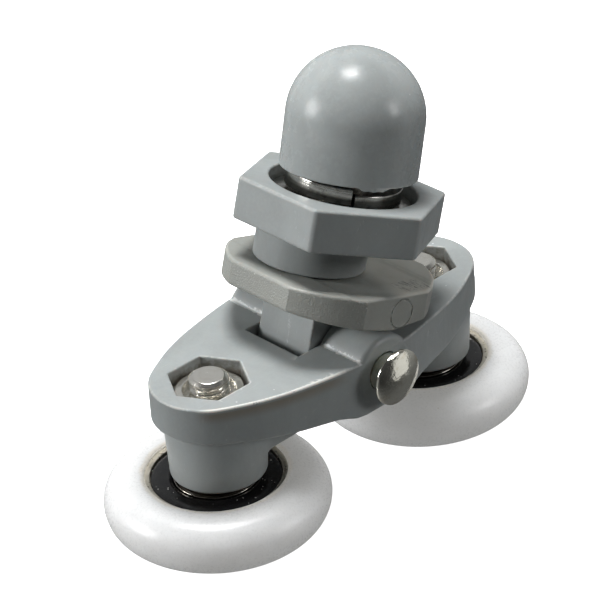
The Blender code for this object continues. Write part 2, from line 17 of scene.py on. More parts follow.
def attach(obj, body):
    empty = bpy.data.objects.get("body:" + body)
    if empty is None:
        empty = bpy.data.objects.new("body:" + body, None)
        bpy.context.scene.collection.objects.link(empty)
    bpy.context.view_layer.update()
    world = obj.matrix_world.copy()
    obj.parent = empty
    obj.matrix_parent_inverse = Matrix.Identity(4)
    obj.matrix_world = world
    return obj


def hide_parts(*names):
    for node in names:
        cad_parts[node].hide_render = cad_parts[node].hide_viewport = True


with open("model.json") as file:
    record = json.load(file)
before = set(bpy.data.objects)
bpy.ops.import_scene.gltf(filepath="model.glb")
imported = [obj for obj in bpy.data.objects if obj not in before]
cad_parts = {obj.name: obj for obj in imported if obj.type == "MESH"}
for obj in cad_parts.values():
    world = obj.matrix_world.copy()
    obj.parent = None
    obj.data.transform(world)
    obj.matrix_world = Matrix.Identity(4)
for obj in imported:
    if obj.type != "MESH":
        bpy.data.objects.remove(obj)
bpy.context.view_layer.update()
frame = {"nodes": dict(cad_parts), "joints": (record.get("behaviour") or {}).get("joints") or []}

MM = 0.001
JOINTS = {joint["name"]: joint for joint in frame["joints"]}
PIVOT = Vector(JOINTS["stem_pivot"]["pos_m"])
STEM_AXIS = Vector(JOINTS["clamp_travel"]["axis"])
WHEELS = {side: Vector(JOINTS[f"wheel_{side}_spin"]["pos_m"]) for side in "ab"}
LEAN = asin(STEM_AXIS.x)
STEM = Matrix.Translation(PIVOT) @ Matrix.Rotation(LEAN, 4, "Y")
UPRIGHT = Matrix.Identity(4)
PIVOT_Z = PIVOT.z / MM
AXLE_X = WHEELS["b"].x / MM
VIEW_AZIMUTH, VIEW_HEIGHT, VIEW_ROLL = radians(-42.41), radians(30.87), radians(-3.49)
VIEW_RIGHT = Vector((cos(VIEW_AZIMUTH), sin(VIEW_AZIMUTH), 0))
VIEW_BACK = Vector((sin(VIEW_AZIMUTH) * cos(VIEW_HEIGHT), -cos(VIEW_AZIMUTH) * cos(VIEW_HEIGHT),
                    sin(VIEW_HEIGHT)))


# ---------------------------------------------------------------- distance fields

def meet(a, b, r):
    """The common part of two fields, its edge rounded by r."""
    corner = np.hypot(np.maximum(r + a, 0), np.maximum(r + b, 0))
    return np.minimum(-r, np.maximum(a, b)) + corner


def join(a, b, r):
    """Two fields together, with a fillet of radius r between them."""
    corner = np.hypot(np.maximum(r - a, 0), np.maximum(r - b, 0))
    return np.maximum(r, np.minimum(a, b)) - corner


def without(a, b, r):
    return meet(a, -b, r)


def ramp(x, low, high):
    t = np.clip((x - low) / (high - low), 0, 1)
    return t * t * (3 - 2 * t)


def outline_field(x, y, corners):
    """Signed distance to a closed outline, negative inside."""
    nearest = None
    inside = None
    for (ax, ay), (bx, by) in zip(corners, corners[1:] + corners[:1]):
        ex, ey = bx - ax, by - ay
        wx, wy = x - ax, y - ay
        t = np.clip((wx * ex + wy * ey) / (ex * ex + ey * ey), 0, 1)
        apart = (wx - ex * t) ** 2 + (wy - ey * t) ** 2
        nearest = apart if nearest is None else np.minimum(nearest, apart)
        above, below, left = y >= ay, y < by, ex * wy > ey * wx
        turned = (above & below & left) | ~(above | below | left)
        inside = turned if inside is None else inside ^ turned
    return np.where(inside, -1, 1) * np.sqrt(nearest)


def hexagon_field(x, y, flats, turn=0.0, r=0.0):
    """Distance to a hexagonal bar whose corners are rounded by r."""
    field = None
    for k in range(3):
        angle = turn + pi / 6 + k * pi / 3
        side = np.abs(x * cos(angle) + y * sin(angle)) - flats / 2
        field = side if field is None else meet(field, side, r)
    return field


NORMAL_REACH = 0.02                # half step for a piece's normals
EDGE_REACH = 0.12                  # half step for how sharp an edge is


def surface_net(field, low, step):
    """Vertices and quads on the zero level of a sampled field."""
    inside = field < 0
    nx, ny, nz = (n - 1 for n in field.shape)
    corners = [(i, j, k) for i in (0, 1) for j in (0, 1) for k in (0, 1)]
    filled = sum(inside[i:nx + i, j:ny + j, k:nz + k].astype(np.uint8) for i, j, k in corners)
    active = (filled > 0) & (filled < 8)
    index = np.full(active.shape, -1, np.int32)
    index[active] = np.arange(active.sum())
    cells = np.argwhere(active)
    value = {c: field[tuple((cells + c).T)] for c in corners}
    total = np.zeros(cells.shape)
    count = np.zeros(len(cells))
    for start in corners:
        for axis in range(3):
            if start[axis]:
                continue
            end = tuple(1 if k == axis else start[k] for k in range(3))
            a, b = value[start], value[end]
            crossed = (a < 0) != (b < 0)
            share = np.where(crossed, a / np.where(crossed, a - b, 1), 0)
            for k in range(3):
                total[:, k] += crossed * (share if k == axis else start[k])
            count += crossed
    points = np.array(low) + step * (cells + total / count[:, None])
    quads = []
    for axis in range(3):
        u, v = (axis + 1) % 3, (axis + 2) % 3
        first = [slice(1, None)] * 3
        second = list(first)
        first[axis] = slice(0, -1)
        a, b = inside[tuple(first)], inside[tuple(second)]
        cross = np.argwhere(a != b)
        outward = a[tuple(cross.T)]
        base = cross.copy()
        for k in (u, v):
            base[:, k] += 1
        ring = []
        for du, dv in ((0, 0), (1, 0), (1, 1), (0, 1)):
            cell = base.copy()
            cell[:, u] -= du
            cell[:, v] -= dv
            ok = (cell < np.array(index.shape)).all(1) & (cell >= 0).all(1)
            ring.append(np.where(ok, index[tuple(np.where(ok[:, None], cell, 0).T)], -1))
        quad = np.stack(ring, 1)
        quad[~outward] = quad[~outward][:, ::-1]
        quads.append(quad[(quad >= 0).all(1)])
    return points, np.concatenate(quads)


def slope(field, p, reach):
    """The field's gradient at points, by central differences."""
    out = np.empty(p.shape)
    for k in range(3):
        shift = np.zeros(3)
        shift[k] = reach
        out[:, k] = (field(*(p + shift).T) - field(*(p - shift).T)) / (2 * reach)
    return out


def settle(field, p, steps, limit):
    """Move points onto the zero level."""
    for _ in range(steps):
        g = slope(field, p, 0.004)
        move = field(*p.T)[:, None] * g / np.maximum((g * g).sum(1), 0.25)[:, None]
        p = p - np.clip(move, -limit, limit)
    return p


def placed(points, placement):
    """Points in millimetres of a piece's own frame, as metres in the row frame."""
    return points * MM @ np.array(placement.to_3x3()).T + np.array(placement.translation)


def keep_place(mesh, points):
    """Store each point's own millimetres, which the materials read."""
    own = mesh.attributes.new("place", "FLOAT_VECTOR", "POINT")
    own.data.foreach_set("vector", np.asarray(points, np.float32).ravel())


def store(name, points, faces, placement, material):
    """Make an object from points in millimetres."""
    points = np.asarray(points, float)
    mesh = bpy.data.meshes.new(name)
    faces = [tuple(map(int, face)) for face in faces]
    mesh.from_pydata(placed(points, placement).tolist(), [], faces)
    mesh.materials.append(material)
    mesh.shade_smooth()
    keep_place(mesh, points)
    item = bpy.data.objects.new(name, mesh)
    bpy.context.scene.collection.objects.link(item)
    return item


def moulded(name, field, low, high, step, share, placement, material):
    """A piece from a distance field, thinned to a share of its faces, with exact normals."""
    axes = [np.arange(low[k], high[k] + step, step, dtype=np.float32) for k in range(3)]
    grid = field(axes[0][:, None, None], axes[1][None, :, None], axes[2][None, None, :])
    points, quads = surface_net(np.asarray(grid), low, step)
    points = settle(field, points, 2, step * 0.5)
    item = store(name, points, quads, UPRIGHT, material)
    thin = item.modifiers.new("thin", "DECIMATE")
    thin.ratio = share
    bpy.context.view_layer.update()
    ready = item.evaluated_get(bpy.context.evaluated_depsgraph_get())
    mesh = bpy.data.meshes.new_from_object(ready)
    item.modifiers.clear()
    item.data = mesh
    flat = np.empty(len(mesh.vertices) * 3)
    mesh.vertices.foreach_get("co", flat)
    p = settle(field, flat.reshape(-1, 3) / MM, 2, step * 0.3)
    mesh.vertices.foreach_set("co", placed(p, placement).ravel())
    mesh.attributes["place"].data.foreach_set("vector", p.astype(np.float32).ravel())
    shifts = [s * np.eye(3)[k] * EDGE_REACH for k in range(3) for s in (-1, 1)]
    bend = sum(field(*(p + shift).T) for shift in shifts)
    edge = mesh.attributes.new("edge", "FLOAT", "POINT")
    edge.data.foreach_set("value", np.clip(bend / EDGE_REACH, -1, 1).astype(np.float32))
    g = slope(field, p, NORMAL_REACH)
    g /= np.maximum(np.linalg.norm(g, axis=1), 1e-6)[:, None]
    mesh.shade_smooth()
    g = g @ np.array(placement.to_3x3()).T
    mesh.normals_split_custom_set_from_vertices(g.tolist())
    mesh.update()
    return item


# ---------------------------------------------------------------- turned and swept pieces

def eased(corners, steps=5):
    """An outline from (radius, height, ease) corners, each rounded over that length."""
    points = []
    count = len(corners)
    for i, (x, z, *ease) in enumerate(corners):
        here = Vector((x, z))
        if not ease or not ease[0] or i in (0, count - 1):
            points.append((x, z))
            continue
        before, after = Vector(corners[i - 1][:2]), Vector(corners[i + 1][:2])
        start = here + (before - here).normalized() * ease[0]
        end = here + (after - here).normalized() * ease[0]
        for k in range(steps + 1):
            t = k / steps
            point = start * (1 - t) ** 2 + here * 2 * t * (1 - t) + end * t * t
            points.append((point.x, point.y))
    return points


def arc(radius, start, end, steps, centre=(0.0, 0.0)):
    angles = [start + (end - start) * i / steps for i in range(steps + 1)]
    return [(centre[0] + radius * cos(a), centre[1] + radius * sin(a)) for a in angles]


def lathe(name, outline, placement, material, segments=128, bend=None, closed=False, crisp=35.0):
    """Turn an outline about Z; bend(radius, height, angle) may change each point."""
    angles = np.arange(segments) * tau / segments
    outline = np.array(outline, float)
    ends_on_axis = [outline[0][0] < 1e-6, outline[-1][0] < 1e-6]
    body = outline[int(ends_on_axis[0]):len(outline) - int(ends_on_axis[1])]
    r = np.repeat(body[:, :1], segments, 1)
    z = np.repeat(body[:, 1:], segments, 1)
    a = np.repeat(angles[None], len(body), 0)
    if bend:
        r, z = bend(r, z, a)
    points = np.stack([r * np.cos(a), r * np.sin(a), z], -1).reshape(-1, 3).tolist()
    faces = []
    rows = len(body)
    for i in range(rows if closed else rows - 1):
        for j in range(segments):
            k = (j + 1) % segments
            n = (i + 1) % rows
            faces.append((i * segments + j, n * segments + j, n * segments + k, i * segments + k))
    if ends_on_axis[0]:
        points.append((0, 0, outline[0][1]))
        faces += [(len(points) - 1, j, (j + 1) % segments) for j in range(segments)]
    if ends_on_axis[1]:
        points.append((0, 0, outline[-1][1]))
        last = (rows - 1) * segments
        faces += [(last + (j + 1) % segments, last + j, len(points) - 1) for j in range(segments)]
    item = store(name, points, faces, placement, material)
    item.data.set_sharp_from_angle(angle=radians(crisp))
    return item


def thread_bend(radius, pitch, depth, low, high):
    """Cut a helical groove into the part of a lathed outline between two heights."""
    def bend(r, z, a):
        phase = (z / pitch - a / tau) % 1.0
        groove = np.abs(phase - 0.5) * 2
        on = ramp(z, low - 0.1, low + 0.3) * ramp(high - z, -0.1, 0.3) * (r > radius - 0.5)
        return r - on * depth * ramp(groove, 0.15, 0.85), z
    return bend


# ---------------------------------------------------------------- materials

class Graph:
    """A small builder for a Principled material, in millimetres of the piece's own frame.

    A piece carries its own millimetres as the attribute "place"; a CAD node (on_cad) has none and
    uses its object coordinates.
    """

    def __init__(self, name, colour, roughness, on_cad=False, **sockets):
        self.material = bpy.data.materials.new(name)
        self.material.use_nodes = True
        self.tree = self.material.node_tree
        self.shader = self.tree.nodes["Principled BSDF"]
        self.set(self.shader, {"Base Color": (*colour, 1), "Roughness": roughness, **sockets})
        if on_cad:
            place = self.node("ShaderNodeTexCoord")
            self.mm = self.vector("SCALE", place.outputs["Object"], scale=1 / MM)
        else:
            place = self.node("ShaderNodeAttribute", attribute_name="place")
            self.mm = place.outputs["Vector"]

    def set(self, node, values):
        for key, value in values.items():
            socket = node.inputs[key]
            if isinstance(value, bpy.types.NodeSocket):
                self.tree.links.new(value, socket)
            else:
                socket.default_value = value

    def node(self, kind, values=None, **options):
        node = self.tree.nodes.new(kind)
        for key, value in options.items():
            setattr(node, key, value)
        self.set(node, values or {})
        return node

    def vector(self, operation, a, b=(0, 0, 0), scale=1.0):
        values = {0: a, "Scale": scale} if operation == "SCALE" else {0: a, 1: b}
        return self.node("ShaderNodeVectorMath", values, operation=operation).outputs["Vector"]

    def math(self, operation, a, b=0.0, c=0.0, clamp=False):
        node = self.node("ShaderNodeMath", {0: a, 1: b, 2: c}, operation=operation, use_clamp=clamp)
        return node.outputs[0]

    def axes(self, vector=None):
        node = self.node("ShaderNodeSeparateXYZ", {0: vector or self.mm})
        return [node.outputs[k] for k in "XYZ"]

    def radius(self, x=None, y=None):
        """Distance from the Z axis, or from the axis that x and y are measured from."""
        own = self.axes()
        x, y = x or own[0], y or own[1]
        return self.math("SQRT", self.math("ADD", self.math("MULTIPLY", x, x),
                                           self.math("MULTIPLY", y, y)))

    def combine(self, x, y, z):
        return self.node("ShaderNodeCombineXYZ", {"X": x, "Y": y, "Z": z}).outputs[0]

    def noise(self, scale, detail=3.0, rough=0.55, vector=None, squash=(1, 1, 1), offset=0.0,
              distortion=0.0):
        place = self.node("ShaderNodeMapping", {"Vector": vector or self.mm, "Scale": squash,
                                                "Location": (offset, offset * 0.7, -offset)})
        node = self.node("ShaderNodeTexNoise", {
            "Vector": place.outputs[0], "Scale": scale, "Detail": detail, "Roughness": rough,
            "Distortion": distortion})
        return node.outputs["Fac"]

    def ramp(self, value, low, high, start=0.0, end=1.0):
        node = self.node("ShaderNodeMapRange", {
            "Value": value, "From Min": low, "From Max": high, "To Min": start, "To Max": end},
            interpolation_type="SMOOTHSTEP")
        return node.outputs[0]

    def mix(self, share, a, b, blend="MIX"):
        colours = [x if isinstance(x, bpy.types.NodeSocket) else (*x, 1) for x in (a, b)]
        node = self.node("ShaderNodeMix", data_type="RGBA", blend_type=blend)
        self.set(node, {0: share, 6: colours[0], 7: colours[1]})
        return node.outputs[2]

    def specks(self, scale, size, share, offset=0.0):
        """Small sparse spots, as a mask."""
        place = self.vector("ADD", self.mm, (offset, offset, offset))
        node = self.node("ShaderNodeTexVoronoi", {"Vector": place, "Scale": scale})
        spot = self.ramp(node.outputs["Distance"], size, size * 0.5)
        pick = self.axes(node.outputs["Color"])[0]
        return self.math("MULTIPLY", spot, self.math("GREATER_THAN", pick, 1 - share))

    def bump(self, height, distance, normal=None):
        values = {"Height": height, "Distance": distance * MM, "Strength": 1.0}
        if normal:
            values["Normal"] = normal
        return self.node("ShaderNodeBump", values).outputs["Normal"]

    def finish(self, colour=None, roughness=None, normal=None):
        for key, value in (("Base Color", colour), ("Roughness", roughness), ("Normal", normal)):
            if value is not None:
                self.set(self.shader, {key: value})
        return self.material


def plastic(name, colour, rough, seed, wear=0.5, grain=None, extra=None, on_cad=False, gloss=0.5,
            scratches=0.22):
    """Moulded grey plastic: flow marks, dust, fine scratches, and pale edges that are partly rubbed
    wear and partly a painted edge highlight.
    """
    g = Graph(name, colour, rough, on_cad, **{
        "Subsurface Weight": 0.22, "Subsurface Scale": 0.7 * MM,
        "Subsurface Radius": (1.0, 0.62, 0.45), "IOR": 1.45, "Specular IOR Level": gloss})
    dark = tuple(c * 0.93 for c in colour)
    light = tuple(min(1, c * 1.07) for c in colour)
    flow = g.noise(0.16, 4, 0.6, squash=(1, 1, 0.5), offset=seed, distortion=0.6)
    fine = g.noise(3.2, 3, 0.6, offset=seed + 3)
    tint = g.mix(g.ramp(flow, 0.3, 0.7), dark, light)
    tint = g.mix(g.ramp(fine, 0.35, 0.75, 0.0, 0.25), tint, tuple(c * 1.16 for c in colour))
    scratch = g.noise(1.0, 2, 0.5, squash=(0.25, 5.0, 1.2), offset=seed + 9, distortion=0.4)
    scratch = g.math("MULTIPLY", g.ramp(scratch, 0.665, 0.72), g.ramp(flow, 0.45, 0.6))
    tint = g.mix(g.math("MULTIPLY", scratch, scratches), tint, (0.5, 0.52, 0.52))
    edge = g.node("ShaderNodeAttribute", attribute_name="edge").outputs["Fac"]
    # Pale convex edges: partly rubbed wear, partly a painted edge highlight.
    broken = g.ramp(g.noise(1.1, 4, 0.7, offset=seed + 5), 0.62 - 0.3 * wear, 0.78 - 0.3 * wear)
    worn_and_lit_edges = g.math("MULTIPLY", g.ramp(edge, 0.25, 0.55), broken)
    tint = g.mix(g.math("MULTIPLY", worn_and_lit_edges, 0.4), tint, (0.6, 0.6, 0.57))
    dust = g.specks(0.55, 0.07, 0.22, seed)
    tint = g.mix(g.math("MULTIPLY", dust, 0.7), tint, (0.72, 0.73, 0.72))
    roughness = g.ramp(g.noise(0.7, 4, 0.6, offset=seed + 7), 0.25, 0.8, rough - 0.06, rough + 0.1)
    height = g.math("MULTIPLY", fine, 0.35)
    height = g.math("SUBTRACT", height, g.math("MULTIPLY", scratch, scratches * 3))
    if grain:
        tint, height = grain(g, tint, height)
    if extra:
        tint, roughness = extra(g, tint, roughness)
    wave = g.bump(g.noise(0.35, 2, 0.5, offset=seed + 11), 0.05)
    return g.finish(tint, roughness, g.bump(height, 0.02, wave))


def turned_metal(name, colour, rough, seed, streak=0.5, tarnish=(0.42, 0.36, 0.28), amount=0.3,
                 contrast=0.35, dents=0.025, uneven=(0.7, 1.5), on_cad=False):
    """Plated metal with turning marks around its own Z."""
    g = Graph(name, colour, rough, on_cad, Metallic=1.0)
    rings = g.combine(g.radius(), g.axes()[2], 0.0)
    marks = g.noise(6.0, 4, 0.7, vector=rings, offset=seed)
    cloud = g.noise(0.8, 4, 0.6, offset=seed + 2)
    tint = g.mix(g.ramp(marks, 0.3, 0.7, 0.0, contrast), colour, tuple(c * 0.6 for c in colour))
    tint = g.mix(g.ramp(cloud, 0.5, 0.75, 0.0, amount), tint, tarnish)
    smooth, dull = (rough * share for share in uneven)
    roughness = g.ramp(g.noise(2.0, 4, 0.6, offset=seed + 4), 0.3, 0.75, smooth, dull)
    nicks = g.noise(1.6, 3, 0.55, offset=seed + 6)
    normal = g.bump(marks, 0.012 * streak)
    return g.finish(tint, roughness, g.bump(nicks, dents, normal))


GREY = (0.310, 0.332, 0.330)
PLATE_GREY = (0.300, 0.308, 0.285)
CAP_GREY = (0.335, 0.358, 0.356)


def arm_marks(g, tint, roughness):
    """Pale flash along the top edge, a painted brown translucent shade below it, painted shade in
    the pockets, the barrel's seam.
    """
    x, y, z = g.axes()
    edge = g.node("ShaderNodeAttribute", attribute_name="edge").outputs["Fac"]
    front = g.math("MULTIPLY", g.ramp(y, -3.2, -4.6), g.ramp(x, -4.0, -7.0))
    ragged = g.math("MULTIPLY", g.ramp(edge, 0.08, 0.24),
                    g.ramp(g.noise(1.1, 4, 0.75, offset=6.0), 0.34, 0.42))
    crumb = g.math("MULTIPLY", g.math("MULTIPLY", ragged, front), g.ramp(z, 17.95, 18.15))
    tint = g.mix(g.math("MULTIPLY", crumb, 0.85), tint, (0.7, 0.7, 0.66))
    # Painted brown translucent shade along the front wall, just below its top edge.
    stain = g.math("MULTIPLY", g.math("MULTIPLY", front, g.ramp(z, 16.6, 17.8)),
                   g.ramp(g.math("SUBTRACT", 18.1, z), 0.0, 0.2))
    tint = g.mix(g.math("MULTIPLY", stain, 0.7), tint, (0.24, 0.205, 0.155))
    # Painted shade in the axle pockets: brownish, darker towards the pocket floor.
    from_axle = g.radius(g.math("SUBTRACT", g.math("ABSOLUTE", x), AXLE_X), y)
    pocket_shade = g.math("SUBTRACT", z, g.ramp(g.noise(0.9, 4, 0.7, offset=14.0), 0.3, 0.7, -0.5, 0.5))
    pocket_shade = g.math("MULTIPLY", g.ramp(pocket_shade, 18.5, 16.8, 0.25, 1.0), g.ramp(from_axle, 4.5, 4.3))
    pocket_shade = g.math("MULTIPLY", pocket_shade, g.ramp(z, 18.35, 18.15))
    tint = g.mix(g.math("MULTIPLY", pocket_shade, 0.85), tint, (0.075, 0.06, 0.042))
    rough_edge = g.noise(1.8, 3, 0.7)
    reach = g.math("ABSOLUTE", g.math("ADD", x, 3.12))
    wide = g.ramp(rough_edge, 0.3, 0.7, 0.06, 0.3)
    line = g.ramp(g.math("SUBTRACT", reach, wide), 0.05, -0.05)
    top = g.ramp(g.math("ABSOLUTE", g.math("SUBTRACT", z, 18.6)), 0.4, 0.2)
    mask = g.math("MULTIPLY", line, top)
    return g.mix(g.math("MULTIPLY", mask, 0.8), tint, (0.7, 0.72, 0.71)), roughness


def nylon_with_painted_glow(name, seed):
    """Milky nylon with a painted glow: a faint emission over a darkened base colour evens out its
    light and shade; stained beside the bearing.
    """
    # Painted glow: the emission makes the tyres glow though they are no lamp.
    g = Graph(name, (0.82, 0.825, 0.82), 0.36, **{
        "Subsurface Weight": 1.0, "Subsurface Scale": 9.0 * MM,
        "Subsurface Radius": (1.0, 0.95, 0.9), "IOR": 1.48,
        "Emission Color": (1.0, 0.99, 0.95, 1), "Emission Strength": 0.15})
    radius = g.radius()
    cloud = g.noise(0.3, 4, 0.6, offset=seed)
    fine = g.noise(4.0, 4, 0.7, offset=seed + 2)
    tint = g.mix(g.ramp(cloud, 0.35, 0.7), (0.55, 0.555, 0.56), (0.59, 0.595, 0.6))
    wander = g.ramp(g.noise(0.6, 3, 0.6, offset=seed + 4), 0.3, 0.7, -0.1, 0.1)
    stain = g.math("ADD", radius, wander)
    tint = g.mix(g.ramp(stain, 7.85, 7.3, 0.0, 0.75), tint, (0.5, 0.44, 0.34))
    tint = g.mix(g.math("MULTIPLY", g.specks(0.35, 0.05, 0.2, seed), 0.5), tint, (0.3, 0.27, 0.22))
    roughness = g.ramp(fine, 0.3, 0.75, 0.22, 0.46)
    height = g.math("ADD", g.math("MULTIPLY", fine, 0.45), g.noise(0.8, 2, 0.5, offset=seed + 6))
    return g.finish(tint, roughness, g.bump(height, 0.03))


def seal_rubber(name, seed):
    """Glossy black rubber with dust and pale chips."""
    g = Graph(name, (0.011, 0.011, 0.011), 0.2, IOR=1.5)
    fine = g.noise(5.0, 4, 0.7, offset=seed)
    tint = g.mix(g.ramp(g.noise(0.8, 4, 0.7, offset=seed + 2), 0.4, 0.8), (0.008, 0.008, 0.009),
                 (0.022, 0.021, 0.019))
    dust = g.math("MAXIMUM", g.specks(1.1, 0.16, 0.3, seed), g.specks(2.4, 0.2, 0.2, seed + 4))
    tint = g.mix(g.math("MULTIPLY", dust, 0.85), tint, (0.6, 0.6, 0.57))
    roughness = g.ramp(fine, 0.35, 0.75, 0.1, 0.28)
    height = g.math("ADD", g.noise(1.3, 3, 0.6, offset=seed + 5), g.math("MULTIPLY", dust, 0.6))
    return g.finish(tint, roughness, g.bump(height, 0.06))


# ---------------------------------------------------------------- carrier arm

def smooth_through(points, steps):
    """A smooth curve through points, as more points."""
    ends = [points[0], *points, points[-1]]
    out = []
    for p0, p1, p2, p3 in zip(ends, ends[1:], ends[2:], ends[3:]):
        for i in range(steps):
            t = i / steps
            out.append(tuple(
                0.5 * (2 * b + (c - a) * t + (2 * a - 5 * b + 4 * c - d) * t * t
                       + (3 * b - a - 3 * c + d) * t ** 3)
                for a, b, c, d in zip(p0, p1, p2, p3)))
    return [*out, points[-1]]


ARM_END_RADIUS = 5.95
ARM_END_ARC = radians(62.0)
ARM_FLANK = [(16.6, 5.75), (14.0, 7.0), (10.9, 8.05), (7.4, 8.83), (4.0, 9.45), (2.2, 9.6)]
ARM_HALF_WIDTH = 9.6
ARM_TOP = 18.45
ARM_EDGE = 0.22
BARREL_RADIUS = 3.8
BOSS_SHIFT = (0.24, -0.22)         # off the axle, as moulded
BOSS_RADIUS, BOSS_TAPER, BOSS_FLARE = 5.2, 0.3, 0.35
BOSS_ROOT, BOSS_HEIGHT, BOSS_FOOT = 14.7, 6.75, 7.95
WEB_HALF_WIDTH, WEB_LENGTH, WEB_BOTTOM = 4.5, 8.1, 10.1
SPIGOT_RADIUS, SPIGOT_END = 2.95, 2.45
LAND_RADIUS, LAND_END = 3.9, 7.25
SLOT_HALF_LENGTH, SLOT_HALF_WIDTH = 6.13, 3.8
POCKET_FLATS, POCKET_FLOOR = 7.3, 14.0
RIVET_HOLE, BOLT_HOLE = 2.05, 2.1


def arm_outline():
    """The arm seen from above: round ends, bowed flanks, a flat across the barrel."""
    end = arc(ARM_END_RADIUS, 0.0, ARM_END_ARC, 16, (AXLE_X, 0.0))
    upper = end[:-1] + smooth_through([end[-1], *ARM_FLANK], 4)
    half_turn = upper + [(-x, y) for x, y in reversed(upper)]
    return half_turn + [(x, -y) for x, y in reversed(half_turn[1:-1])]


ARM_OUTLINE = arm_outline()
ARM_RIGHT = [(21.65, 14.7), (9.1, 13.35), (7.5, 13.2), (6.0, 13.03), (4.9, 12.72), (3.9, 12.34),
             (2.6, 12.2)]
ARM_SIDE = [(21.65, 19.6), *ARM_RIGHT, *[(-x, z) for x, z in reversed(ARM_RIGHT)],
            (-21.65, 19.6)]


def boss_field(across, y, z, inward):
    """One tapered boss with the web that runs from it to the slot."""
    height = np.clip((BOSS_ROOT - z) / BOSS_HEIGHT, 0, 1)
    radius = BOSS_RADIUS - BOSS_TAPER * height + BOSS_FLARE * ramp(z, 13.6, 15.0)
    boss = np.hypot(across - BOSS_SHIFT[0], y - BOSS_SHIFT[1]) - radius
    boss = meet(meet(boss, BOSS_FOOT - z, 0.25), z - 16.5, 0.2)
    web = meet(np.abs(y) - WEB_HALF_WIDTH, WEB_BOTTOM - z, 0.5)
    web = meet(meet(web, inward - WEB_LENGTH, 0.3), z - 15.7, 0.2)
    return join(boss, np.maximum(web, -inward), 0.6)


def spigot_field(across, y, z):
    """The bearing's spigot, stepped up to the land its inner ring rests on."""
    spigot = meet(np.hypot(across, y) - SPIGOT_RADIUS, SPIGOT_END - z, 0.2)
    land = meet(np.hypot(across, y) - LAND_RADIUS, LAND_END - z, 0.15)
    return meet(join(spigot, land, 0.05), z - 12.0, 0.2)


def arm_field(x, y, z):
    field = meet(outline_field(x, y, ARM_OUTLINE), z - ARM_TOP, ARM_EDGE)
    field = meet(field, outline_field(x, z, ARM_SIDE), 0.25)
    barrel = np.hypot(x, z - PIVOT_Z) - BARREL_RADIUS
    field = join(field, meet(barrel, np.abs(y) - ARM_HALF_WIDTH, 0.6), 0.06)
    for side in (-1, 1):
        across = x - side * AXLE_X
        field = join(field, boss_field(across, y, z, -side * across), 0.35)
        field = join(field, spigot_field(across, y, z), 0.05)
    slot = np.maximum(np.abs(x) - SLOT_HALF_LENGTH, np.abs(y) - SLOT_HALF_WIDTH)
    field = without(field, slot, 0.14)
    field = without(field, np.hypot(x, z - PIVOT_Z) - RIVET_HOLE, 0.08)
    for side in (-1, 1):
        across = x - side * AXLE_X
        pocket = meet(hexagon_field(across, y, POCKET_FLATS, 0.0, 0.1), POCKET_FLOOR - z, 0.05)
        field = without(field, pocket, 0.16)
        field = without(field, np.hypot(across, y) - BOLT_HOLE, 0.05)
    return field


fine_step = 0.14
arm = moulded("arm_body", arm_field, (-21.6, -10.0, 2.0), (21.6, 10.0, 20.4), fine_step, 0.2,
              UPRIGHT, plastic("arm_plastic", GREY, 0.4, 1.0, 0.62, extra=arm_marks))
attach(arm, "carrier")
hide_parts("carrier_arm")


# ---------------------------------------------------------------- stem block and clamp plate

TONGUE_REACH, TONGUE_BOTTOM, TONGUE_HALF_WIDTH = 4.9, -3.7, 3.6
PLATE_SEAT, PLATE_SLOPE = 4.15, 0.133      # seat's height at the middle, and its rise outward
NECK_RADIUS, NECK_BOTTOM, NECK_TOP = 4.55, 4.02, 7.2
SOCKET_RADIUS, SOCKET_FOOT_RADIUS = 3.05, 3.45


def tongue_outline():
    """The tongue and the seat under the plate, as (u, w) points."""
    start = atan2(TONGUE_BOTTOM, -sqrt(TONGUE_REACH ** 2 - TONGUE_BOTTOM ** 2))
    left = arc(TONGUE_REACH, start, -pi, 10)
    right = [(-u, w) for u, w in reversed(left)]
    edge = PLATE_SEAT + PLATE_SLOPE * TONGUE_REACH
    return [(-TONGUE_REACH, edge), *reversed(left), *reversed(right), (TONGUE_REACH, edge),
            (0.0, PLATE_SEAT)]


TONGUE = tongue_outline()


def block_field(u, v, w):
    field = meet(outline_field(u, w, TONGUE), np.abs(v) - TONGUE_HALF_WIDTH, 0.16)
    neck = meet(np.hypot(u, v) - NECK_RADIUS, w - NECK_TOP, 0.15)
    neck = meet(neck, NECK_BOTTOM - w, 0.1)
    field = join(field, neck, 0.1)
    field = without(field, np.hypot(u, w) - RIVET_HOLE, 0.08)
    socket = np.maximum(np.hypot(u, v) - SOCKET_RADIUS, 3.7 - w)
    foot = np.maximum(np.maximum(np.hypot(u, v) - SOCKET_FOOT_RADIUS, w - 3.75), 2.65 - w)
    return without(field, np.minimum(socket, foot), 0.06)


def scuffed(g, tint, roughness):
    """A dotted rub line down the tongue's left face."""
    v = g.axes()[1]
    wander = g.ramp(g.noise(1.2, 3, 0.6), 0.3, 0.7, -0.25, 0.25)
    line = g.ramp(g.math("ABSOLUTE", g.math("ADD", g.math("ADD", v, 0.4), wander)), 0.16, 0.04)
    dots = g.ramp(g.noise(3.2, 3, 0.8, offset=4.0), 0.45, 0.6)
    mask = g.math("MULTIPLY", line, dots)
    return g.mix(g.math("MULTIPLY", mask, 0.55), tint, (0.6, 0.62, 0.62)), roughness


block = moulded("stem_block", block_field, (-5.3, -4.9, -4.3), (5.3, 4.9, 8.4), 0.12, 0.25, STEM,
                plastic("block_plastic", GREY, 0.42, 5.0, 0.5, extra=scuffed))
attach(block, "stem")
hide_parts("pivot_block")


PLATE_RADIUS, PLATE_FLAT_U, PLATE_FLAT_V = 10.6, 9.8, 9.65
PLATE_BOTTOM, PLATE_TOP = 4.2, 8.15
PLATE_SLOPE_COSINE = 0.991
PLATE_DIP = 0.15
PLATE_HOLE, PLATE_HOLE_TOP = 4.6, 7.25
RING_MARK = (0.9, 5.95, 1.5)       # u, w and radius of the ring on the plate's front flat
RING_MARK_DEPTH = 9.55
STUD_HOLE = 3.1


